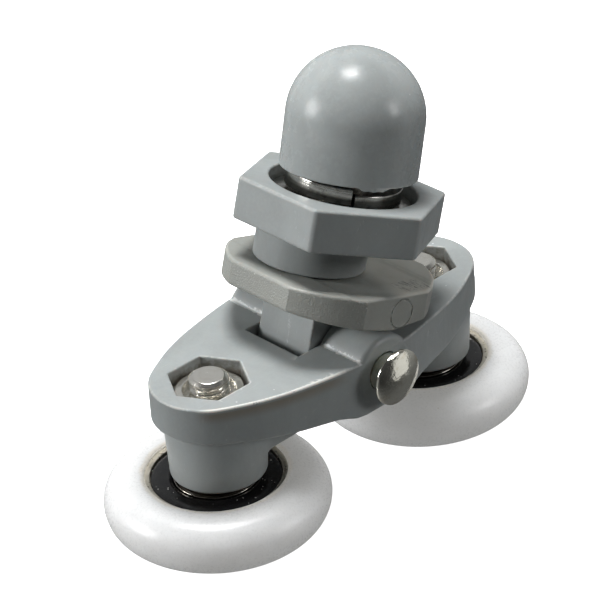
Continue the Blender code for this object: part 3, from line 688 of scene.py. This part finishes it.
def plate_outline():
    """A disc with four flats."""
    turn_u = atan2(sqrt(PLATE_RADIUS ** 2 - PLATE_FLAT_U ** 2), PLATE_FLAT_U)
    turn_v = atan2(PLATE_FLAT_V, sqrt(PLATE_RADIUS ** 2 - PLATE_FLAT_V ** 2))
    corner = arc(PLATE_RADIUS, turn_u, turn_v, 12)
    half = corner + [(-u, v) for u, v in reversed(corner)]
    return half + [(-u, -v) for u, v in half]


PLATE = plate_outline()


def plate_field(u, v, w):
    side = outline_field(u, v, PLATE)
    low = (PLATE_BOTTOM + PLATE_SLOPE * np.abs(u) - w) * PLATE_SLOPE_COSINE
    dip = PLATE_DIP * ramp(u, -5.9, -5.1) * ramp(6.9 - u, 0.0, 1.4)
    high = w - PLATE_TOP + dip
    field = meet(meet(side, low, 0.3), high, 0.32)
    mark = np.abs(np.hypot(u - RING_MARK[0], w - RING_MARK[1]) - RING_MARK[2]) - 0.07
    mark = np.maximum(mark, v + RING_MARK_DEPTH)
    field = without(field, mark, 0.04)
    hole = np.maximum(np.hypot(u, v) - PLATE_HOLE, w - PLATE_HOLE_TOP)
    return without(field, np.minimum(hole, np.hypot(u, v) - STUD_HOLE), 0.08)


def plate_finish(g, tint, roughness):
    """A painted highlight along the crease, a painted lit right side and dark worn marks on the
    plate's top.
    """
    u, v, w = g.axes()
    top = g.ramp(w, 7.6, 7.8)
    # Painted highlight along the crease of the plate's top.
    crease_highlight = g.ramp(g.math("ABSOLUTE", g.math("SUBTRACT", u, 6.3)), 0.16, 0.05)
    crease_highlight = g.math("MULTIPLY", crease_highlight, g.ramp(g.noise(0.8, 3, 0.6), 0.35, 0.55))
    tint = g.mix(g.math("MULTIPLY", g.math("MULTIPLY", crease_highlight, top), 0.75), tint, (0.78, 0.78, 0.7))
    # Painted light: the right side of the plate's top is made paler where it lies in shade.
    rightward = g.math("SUBTRACT", u, g.math("MULTIPLY", v, 0.25))
    lit_side = g.math("MULTIPLY", g.ramp(rightward, 1.0, 4.0), top)
    tint = g.mix(g.math("MULTIPLY", lit_side, 0.8), tint, (0.64, 0.63, 0.56))
    marks = g.noise(1.0, 3, 0.7, squash=(4.5, 0.9, 1.0), offset=3.0, distortion=1.2)
    across = g.ramp(g.math("ABSOLUTE", g.math("SUBTRACT", u, 3.6)), 2.6, 1.6)
    along = g.ramp(g.math("ABSOLUTE", g.math("ADD", v, 7.9)), 1.5, 0.8)
    patch = g.math("MULTIPLY", g.math("MULTIPLY", across, along), top)
    worn = g.math("MULTIPLY", patch, g.ramp(marks, 0.5, 0.62))
    tint = g.mix(g.math("MULTIPLY", worn, 0.85), tint, (0.09, 0.09, 0.08))
    pale = g.math("MULTIPLY", patch, g.ramp(marks, 0.44, 0.36))
    tint = g.mix(g.math("MULTIPLY", pale, 0.4), tint, (0.6, 0.6, 0.57))
    return tint, roughness


def plate_grain(g, tint, height):
    """Spark-eroded grain on the plate's left side."""
    u, _, w = g.axes()
    where = g.math("MULTIPLY", g.ramp(u, -3.6, -4.6), g.ramp(w, 8.1, 7.9))
    rough_noise = g.noise(5.5, 2, 0.6, offset=8.0)
    grain = g.math("MULTIPLY", g.math("SUBTRACT", rough_noise, 0.5), where)
    pale = g.math("MULTIPLY", g.ramp(rough_noise, 0.55, 0.75), g.math("MULTIPLY", where, 0.35))
    tint = g.mix(pale, tint, (0.5, 0.5, 0.48))
    return tint, g.math("ADD", height, g.math("MULTIPLY", grain, 4.0))


plate = moulded("clamp_disc", plate_field, (-10.9, -10.9, 3.6), (10.9, 10.9, 8.7), 0.14, 0.25,
                STEM, plastic("disc_plastic", PLATE_GREY, 0.46, 8.0, 0.5, plate_grain,
                              plate_finish))
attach(plate, "stem")
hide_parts("clamp_plate")


# ---------------------------------------------------------------- eccentric bush

HEX_CORNER_RADIUS, HEX_BOTTOM, HEX_TOP = 10.85, 12.0, 16.4
COLLAR_RADIUS, COLLAR_BOTTOM = 5.74, 8.2
COLLAR_CENTRE = (-1.85, 1.2)
RECESS_RADIUS, RECESS_FLOOR = 7.5, 14.2


def bush_field(u, v, w):
    body = hexagon_field(u, v, 2 * HEX_CORNER_RADIUS * cos(pi / 6), radians(30.0), 0.3)
    body = meet(meet(body, w - HEX_TOP, 0.3), HEX_BOTTOM - w, 0.25)
    collar = np.hypot(u - COLLAR_CENTRE[0], v - COLLAR_CENTRE[1]) - COLLAR_RADIUS
    collar = meet(meet(collar, COLLAR_BOTTOM - w, 0.2), w - 14.0, 0.2)
    field = join(body, collar, 0.15)
    recess = np.maximum(np.hypot(u, v) - RECESS_RADIUS, RECESS_FLOOR - w)
    bore = np.hypot(u, v) - STUD_HOLE
    return without(field, np.minimum(recess, bore), 0.22)


bush = moulded("hex_bush", bush_field, (-11.2, -11.2, 7.8), (11.2, 11.2, 16.8), 0.14, 0.22, STEM,
               plastic("bush_plastic", GREY, 0.4, 14.0, 0.55))
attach(bush, "bush")
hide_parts("eccentric_bush")


# ---------------------------------------------------------------- cap

CAP_RADIUS, CAP_RIM = 7.0, 17.92
DOME_CENTRE = 23.46
CAP_BORE, CAP_BORE_END = 3.2, 25.9
CURL_ANGLE = radians(245.0)


def cap_bend(r, z, a):
    """The rim's small flash, with a torn curl at the front."""
    low = ramp(18.2 - z, 0.0, 0.3) * (r > 6.0)
    ragged = np.sin(a * 23 + 2) * np.sin(a * 7.3) + 0.6 * np.sin(a * 61 + 1)
    curl = ramp(np.abs(a - CURL_ANGLE), 0.26, 0.12) * (0.3 + 0.05 * np.sin(a * 43.0))
    return r + 0.012 * low * ragged, z - low * (0.03 * np.abs(ragged) + curl)


def cap_marks(g, tint, roughness):
    """Pale torn flash along the front of the rim."""
    u, v, w = g.axes()
    torn = g.ramp(g.noise(1.9, 4, 0.7, offset=2.0), 0.38, 0.5)
    front = g.math("MULTIPLY", g.ramp(v, -3.0, -4.5), g.ramp(u, -4.0, -1.0))
    rim = g.math("MULTIPLY", g.math("MULTIPLY", torn, front), g.ramp(w, 18.1, 17.98))
    return g.mix(g.math("MULTIPLY", rim, 0.8), tint, (0.66, 0.67, 0.64)), roughness


dome = arc(CAP_RADIUS, pi / 2, 0.0, 40, (0.0, DOME_CENTRE))
cap_outline = [*[(max(0.0, r), z) for r, z in dome],
               *eased([(CAP_RADIUS, 23.3), (6.99, CAP_RIM, 0.18), (6.3, CAP_RIM, 0.1),
                       (CAP_BORE, 17.95, 0.1), (CAP_BORE, CAP_BORE_END, 0.3),
                       (0.0, CAP_BORE_END)])]
dome_centre = STEM @ Vector((0, 0, DOME_CENTRE * MM))
crooked = (Matrix.Translation(dome_centre) @ Matrix.Rotation(radians(2.5), 4, VIEW_BACK)
           @ Matrix.Rotation(radians(-2.0), 4, VIEW_RIGHT) @ Matrix.Translation(-dome_centre))
cap = lathe("cap_shell", cap_outline, crooked @ STEM,
            plastic("cap_plastic", CAP_GREY, 0.25, 21.0, 0.4, extra=cap_marks, gloss=0.27,
                    scratches=0.05), 192,
            cap_bend)
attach(cap, "cap")
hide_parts("dome_cap")


# ---------------------------------------------------------------- washers and stud

steel = turned_metal("washer_steel", (0.5, 0.49, 0.46), 0.16, 3.0, 0.9, (0.03, 0.028, 0.025), 0.6,
                     0.8, 0.012)
WASHER_RADIUS, WASHER_BORE = 7.2, 3.2
WASHER_LOW, WASHER_MIDDLE, WASHER_HIGH = 14.27, 14.75, 15.23
LOCK_RADIUS, LOCK_BORE, LOCK_THICKNESS = 5.9, 3.3, 1.73
LOCK_BASE, LOCK_RISE = 15.32, 0.6
LOCK_SPLIT, LOCK_SPLIT_WIDTH = radians(233.0), radians(3.2)
STUD_RADIUS, STUD_TOP, STUD_PITCH = 3.0, 25.2, 1.0

flat_ring = lathe("thin_washer", eased([
    (WASHER_RADIUS, WASHER_MIDDLE), (WASHER_RADIUS, WASHER_LOW, 0.06),
    (WASHER_BORE, WASHER_LOW, 0.06), (WASHER_BORE, WASHER_HIGH, 0.06),
    (WASHER_RADIUS, WASHER_HIGH, 0.12), (WASHER_RADIUS, WASHER_MIDDLE)]), STEM, steel, 128)
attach(flat_ring, "clamp_stack")
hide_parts("flat_washer")


def spring_ring():
    """A split ring that climbs over its one turn."""
    section = eased([(LOCK_RADIUS, 0.9), (LOCK_RADIUS, 0.0, 0.12), (LOCK_BORE, 0.0, 0.12),
                     (LOCK_BORE, LOCK_THICKNESS, 0.12), (LOCK_RADIUS, LOCK_THICKNESS, 0.14),
                     (LOCK_RADIUS, 0.9)])[:-1]
    steps = 160
    start, turn = LOCK_SPLIT + LOCK_SPLIT_WIDTH / 2, tau - LOCK_SPLIT_WIDTH
    points = []
    for i in range(steps + 1):
        angle = start + turn * i / steps
        lift = LOCK_BASE + LOCK_RISE * i / steps
        points += [(r * cos(angle), r * sin(angle), z + lift) for r, z in section]
    n = len(section)
    faces = [(i * n + j, (i + 1) * n + j, (i + 1) * n + (j + 1) % n, i * n + (j + 1) % n)
             for i in range(steps) for j in range(n)]
    faces += [tuple(range(n)), tuple(reversed(range(steps * n, steps * n + n)))]
    item = store("spring_washer", points, faces, STEM, steel)
    item.data.set_sharp_from_angle(angle=radians(35.0))
    return item


ring = spring_ring()
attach(ring, "clamp_stack")
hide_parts("lock_washer")

stud_rows = [(STUD_RADIUS, 24.8 - 0.08 * i) for i in range(int(21.0 / 0.08))]
stud = lathe("stud_thread", [(0.0, STUD_TOP), (2.6, STUD_TOP), *stud_rows, (STUD_RADIUS, 3.9),
                             (3.4, 3.7), (3.4, 2.7), (0.0, 2.7)], STEM,
             turned_metal("stud_steel", (0.6, 0.58, 0.54), 0.3, 12.0), 64,
             thread_bend(STUD_RADIUS, STUD_PITCH, 0.5, 8.3, 24.6))
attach(stud, "stem")
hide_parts("clamp_stud")


# ---------------------------------------------------------------- axle bolts and nuts

nickel = turned_metal("nickel_plate", (0.88, 0.86, 0.8), 0.25, 7.0, 0.05, (0.66, 0.56, 0.4), 0.12,
                      0.08, 0.001, (0.92, 1.1))


NUT_FLATS, NUT_HALF, NUT_BASE = 7.0, 1.6, 14.05
NUT_BORE, NUT_SINK_RADIUS, NUT_SINK_FLOOR = 2.06, 2.68, 2.3
BOLT_RADIUS, BOLT_TOP, BOLT_PITCH = 2.0, 18.8, 0.7
HEAD_SPHERE, HEAD_SPHERE_CENTRE = 6.0, 6.02
HEAD_RADIUS, HEAD_TOP = 3.78, 2.15
BLADE_REACH, BLADE_HALF, BLADE_DEPTH = 1.9, 0.42, 1.2


def nut_field(x, y, z):
    """A nut with chamfered ends and a wide countersink on top."""
    radial = np.hypot(x, y)
    ends = np.abs(z - NUT_HALF) - NUT_HALF
    field = meet(hexagon_field(x, y, NUT_FLATS, 0.0, 0.08), ends, 0.06)
    field = meet(field, (radial - 3.4 + ends * 1.1) * 0.67, 0.05)
    bore = radial - NUT_BORE
    sink = np.maximum(radial - NUT_SINK_RADIUS, NUT_SINK_FLOOR - z)
    return without(field, np.minimum(bore, sink), 0.08)


def head_field(x, y, z):
    """A low domed head with a cross recess below."""
    radial = np.hypot(x, y)
    dome = np.sqrt(radial ** 2 + (z - HEAD_SPHERE_CENTRE) ** 2) - HEAD_SPHERE
    field = meet(meet(dome, radial - HEAD_RADIUS, 0.15), z - HEAD_TOP, 0.12)
    blades = np.minimum(np.maximum(np.abs(x) - BLADE_REACH, np.abs(y) - BLADE_HALF),
                        np.maximum(np.abs(y) - BLADE_REACH, np.abs(x) - BLADE_HALF))
    return without(field, np.maximum(blades, z - BLADE_DEPTH), 0.08)


for side, axis in WHEELS.items():
    foot = Matrix.Translation((axis.x, 0.0, 0.0))
    turn = Matrix.Rotation(radians(40.0 if side == "a" else 15.0), 4, "Z")
    rows = [(BOLT_RADIUS, 18.5 - 0.05 * i) for i in range(int(6.5 / 0.05))]
    shank = lathe(f"bolt_thread_{side}", [
        (0.0, BOLT_TOP), *eased([(1.2, BOLT_TOP), (1.62, BOLT_TOP, 0.1), (1.99, 18.45)]), *rows,
        (1.98, 11.9), (1.98, 2.1), (0.0, 2.1)], foot @ turn, nickel, 72,
        thread_bend(BOLT_RADIUS, BOLT_PITCH, 0.33, 12.2, 18.35))
    head = moulded(f"bolt_head_{side}", head_field, (-4.1, -4.1, -0.4), (4.1, 4.1, 2.5), 0.1, 0.5,
                   foot @ turn, nickel)
    nut = moulded(f"bolt_nut_{side}", nut_field, (-4.4, -4.4, -0.3), (4.4, 4.4, 3.5), 0.08, 0.6,
                  Matrix.Translation((axis.x, 0.0, NUT_BASE * MM)), nickel)
    for item, node in ((shank, "axle_bolt"), (head, "axle_bolt"), (nut, "axle_nut")):
        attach(item, "carrier")
        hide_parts(f"{node}_{side}")


# ---------------------------------------------------------------- pivot rivet

def rivet_bend(r, z, a):
    """A head that was struck slightly out of round."""
    out = ramp(r, 1.5, 2.8) * (z > 10.9)
    return r * (1 + 0.008 * out * np.sin(2 * a + 0.6)), z + 0.03 * out * np.sin(a - 1.0)


rivet_metal = turned_metal("rivet_nickel", (0.86, 0.84, 0.74), 0.12, 31.0, 0.03,
                           (0.55, 0.42, 0.26), 0.3, 0.12, 0.03)
RIVET_HEAD_RADIUS, RIVET_CROWN_RISE, RIVET_TIP = 2.97, 0.68, 12.13
sphere = (RIVET_HEAD_RADIUS ** 2 + RIVET_CROWN_RISE ** 2) / (2 * RIVET_CROWN_RISE)
crown = arc(sphere, pi / 2, pi / 2 - asin(2.82 / sphere), 18, (0.0, RIVET_TIP - sphere))
rivet = lathe("rivet_body", [
    *[(max(0.0, r), z) for r, z in crown], *eased([
        (2.9, 11.47), (2.96, 11.3, 0.08), (2.92, 11.18, 0.06), (2.0, 11.17, 0.05), (1.99, -9.68),
        (2.65, -9.75, 0.05), (2.62, -10.2, 0.2), (1.9, -10.8, 0.3), (1.0, -10.55, 0.3),
        (0.0, -10.5)])], Matrix.Translation(PIVOT) @ Matrix.Rotation(radians(90.0), 4, "X"),
    rivet_metal, 96, rivet_bend)
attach(rivet, "carrier")
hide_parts("pivot_rivet")


# ---------------------------------------------------------------- wheels

RIM_ROUND, RIM_CENTRE = 2.9, 8.6
LIP_RADIUS, SEAT_RADIUS = 7.2, 7.54
RING_OUTER, RING_INNER, RING_HALF = 7.48, 4.33, 2.48
RING_BORE, SEAL_SEAT = 3.02, 6.66
SEAL_OUTER, SEAL_INNER = 6.6, 4.47


def tyre_outline():
    """The tyre's section: a full round rim, a crowned face and a lip over the bearing."""
    outer = arc(RIM_ROUND, radians(86.0), radians(-86.0), 28, (RIM_CENTRE, 0.0))
    face = [(LIP_RADIUS, 2.86), (7.4, 2.94), (8.0, 2.95)]
    lip = [(LIP_RADIUS, -2.86), (LIP_RADIUS, -2.56), (SEAT_RADIUS, -2.54), (SEAT_RADIUS, 2.54),
           (LIP_RADIUS, 2.56), (LIP_RADIUS, 2.86)]
    return [*face, *outer, *[(r, -z) for r, z in reversed(face)], *lip[1:-1]]


ring_steel = turned_metal("ring_steel", (0.5, 0.47, 0.40), 0.34, 41.0, 0.3, (0.3, 0.26, 0.19), 0.4)
# A darkened copy of the bearing steel: painted shade for the inner ring in the gap under the boss.
shaded_race_steel = turned_metal("shaded_race_steel", (0.24, 0.23, 0.21), 0.18, 45.0, 0.3)
for side, axis in WHEELS.items():
    centre = Matrix.Translation(axis)
    tyre = lathe(f"wheel_tyre_{side}", tyre_outline(), centre,
                 nylon_with_painted_glow(f"tyre_nylon_{side}", 3.0 if side == "a" else 17.0), 160, closed=True,
                 crisp=50.0)
    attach(tyre, f"wheel_{side}")
    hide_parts(f"tyre_{side}")
    outer = lathe(f"race_outer_{side}", eased([
        (RING_OUTER, 0.0), (RING_OUTER, RING_HALF, 0.08), (SEAL_SEAT, RING_HALF, 0.1),
        (SEAL_SEAT, 2.05, 0.05), (6.32, 2.0, 0.05), (6.32, 1.0), (6.52, 0.0), (6.32, -1.0),
        (6.32, -2.0, 0.05), (SEAL_SEAT, -2.05, 0.05), (SEAL_SEAT, -RING_HALF, 0.1),
        (RING_OUTER, -RING_HALF, 0.08), (RING_OUTER, 0.0)])[:-1], centre, ring_steel, 128,
        closed=True)
    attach(outer, f"wheel_{side}")
    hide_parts(f"outer_ring_{side}")
    inner = lathe(f"race_inner_{side}", eased([
        (RING_INNER, 1.0), (4.12, 0.0), (RING_INNER, -1.0), (RING_INNER, -RING_HALF, 0.1),
        (RING_BORE, -RING_HALF, 0.15), (RING_BORE, RING_HALF, 0.15),
        (RING_INNER, RING_HALF, 0.12), (RING_INNER, 1.0)])[:-1], centre, shaded_race_steel, 96,
        closed=True)
    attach(inner, "carrier")
    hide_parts(f"inner_ring_{side}")
    for word, sign in (("upper", 1), ("lower", -1)):
        shell = [(SEAL_INNER, 2.30), (4.75, 2.42, 0.1), (5.2, 2.36, 0.2), (6.1, 2.38, 0.2),
                 (SEAL_OUTER, 2.28, 0.1), (SEAL_OUTER, 2.12, 0.05), (SEAL_INNER, 2.12, 0.05),
                 (SEAL_INNER, 2.30)]
        outline = eased(shell)[:-1]
        if sign < 0:
            outline = [(r, -z) for r, z in reversed(outline)]
        seal = lathe(f"seal_{word}_{side}", outline, centre,
                     seal_rubber(f"seal_{word}_{side}", 5.0 + 9 * sign + ord(side)), 128,
                     closed=True)
        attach(seal, f"wheel_{side}")
        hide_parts(f"{word}_seal_{side}")

hidden_steel = turned_metal("ball_steel", (0.66, 0.65, 0.62), 0.15, 51.0, 0.2, on_cad=True)
hidden_cage = plastic("cage_nylon", (0.05, 0.05, 0.055), 0.5, 55.0, 0.2, on_cad=True)
brass = turned_metal("insert_brass", (0.66, 0.50, 0.24), 0.3, 58.0, 0.8, on_cad=True)
for name, node in frame["nodes"].items():
    if node.hide_render:
        continue
    finish = brass if name == "cap_insert" else hidden_cage if "cage" in name else hidden_steel
    for k in range(len(node.data.materials)):
        node.data.materials[k] = finish
    node.data.shade_smooth()


# ---------------------------------------------------------------- stage, light and camera

def floor():
    half = 1.5 / MM
    points = [(-half, -half, 0), (half, -half, 0), (half, half, 0), (-half, half, 0)]
    g = Graph("floor_paper", (0.9, 0.9, 0.9), 0.9, **{
        "Emission Color": (1, 1, 1, 1), "Emission Strength": 0.95})
    paper = g.mix(g.noise(0.02, 3), (0.89, 0.89, 0.89), (0.91, 0.91, 0.91))
    item = store("floor", points, [(0, 1, 2, 3)], UPRIGHT, g.finish(paper))
    item.visible_diffuse = item.visible_glossy = item.visible_shadow = False


def softbox(name, direction, distance, size, power, height=None):
    """A soft light that faces the object."""
    data = bpy.data.lights.new(name, "AREA")
    data.shape = "RECTANGLE"
    data.size = size
    data.size_y = height or size
    data.energy = power
    item = bpy.data.objects.new(name, data)
    bpy.context.scene.collection.objects.link(item)
    way = Vector(direction).normalized()
    item.location = Vector((0, 0, 0.025)) + way * distance
    item.rotation_euler = way.to_track_quat("Z", "Y").to_euler()
    return item


def surroundings():
    """A tent: pale behind the object, dark at the camera, dim below but for the low left."""
    world = bpy.data.worlds.new("tent")
    bpy.context.scene.world = world
    world.use_nodes = True
    tree = world.node_tree
    back = tree.nodes["Background"]
    place = tree.nodes.new("ShaderNodeTexCoord").outputs["Generated"]

    def lobe(direction, low, high, start, end):
        dot = tree.nodes.new("ShaderNodeVectorMath")
        dot.operation = "DOT_PRODUCT"
        dot.inputs[1].default_value = direction
        tree.links.new(place, dot.inputs[0])
        shade = tree.nodes.new("ShaderNodeMapRange")
        shade.interpolation_type = "SMOOTHSTEP"
        tree.links.new(dot.outputs["Value"], shade.inputs["Value"])
        for key, value in (("From Min", low), ("From Max", high), ("To Min", start),
                           ("To Max", end)):
            shade.inputs[key].default_value = value
        return shade.outputs[0]

    def total(operation, a, b):
        node = tree.nodes.new("ShaderNodeMath")
        node.operation = operation
        tree.links.new(a, node.inputs[0])
        tree.links.new(b, node.inputs[1])
        return node.outputs[0]

    tent = total("MULTIPLY", lobe(VIEW_BACK, -0.5, 0.5, 0.36, 0.045),
                 lobe((0, 0, 1), -0.6, 0.1, 0.3, 1.0))
    strength = total("ADD", tent, lobe((-0.72, -0.12, -0.68), 0.35, 0.95, 0.0, 0.25))
    tree.links.new(strength, back.inputs["Strength"])
    back.inputs["Color"].default_value = (0.97, 0.99, 1.0, 1)


def camera():
    """A long lens from the front left, above, slightly rolled."""
    up = VIEW_BACK.cross(VIEW_RIGHT)
    across = VIEW_RIGHT * cos(VIEW_ROLL) + up * sin(VIEW_ROLL)
    upward = up * cos(VIEW_ROLL) - VIEW_RIGHT * sin(VIEW_ROLL)
    data = bpy.data.cameras.new("camera")
    data.lens = 167.6
    data.sensor_width = 36.0
    data.clip_start = 0.01
    item = bpy.data.objects.new("camera", data)
    bpy.context.scene.collection.objects.link(item)
    turn = Matrix((across, upward, VIEW_BACK)).transposed().to_4x4()
    item.matrix_world = Matrix.Translation((-0.1633, -0.1766, 0.1645)) @ turn
    bpy.context.scene.camera = item


floor()
camera()
surroundings()
softbox("left_box", (-0.76, 0.554, 0.341), 0.5, 0.16, 1.8)
softbox("top_box", (0.09, 0.173, 0.981), 0.5, 0.16, 3.0)
softbox("right_box", (0.457, -0.827, 0.329), 0.5, 0.14, 0.62)
shine = softbox("table_shine", (0.58, -0.76, -0.22), 0.35, 0.19, 0.055, 0.17)
shine.visible_diffuse = False
bpy.context.scene.view_settings.view_transform = "Standard"
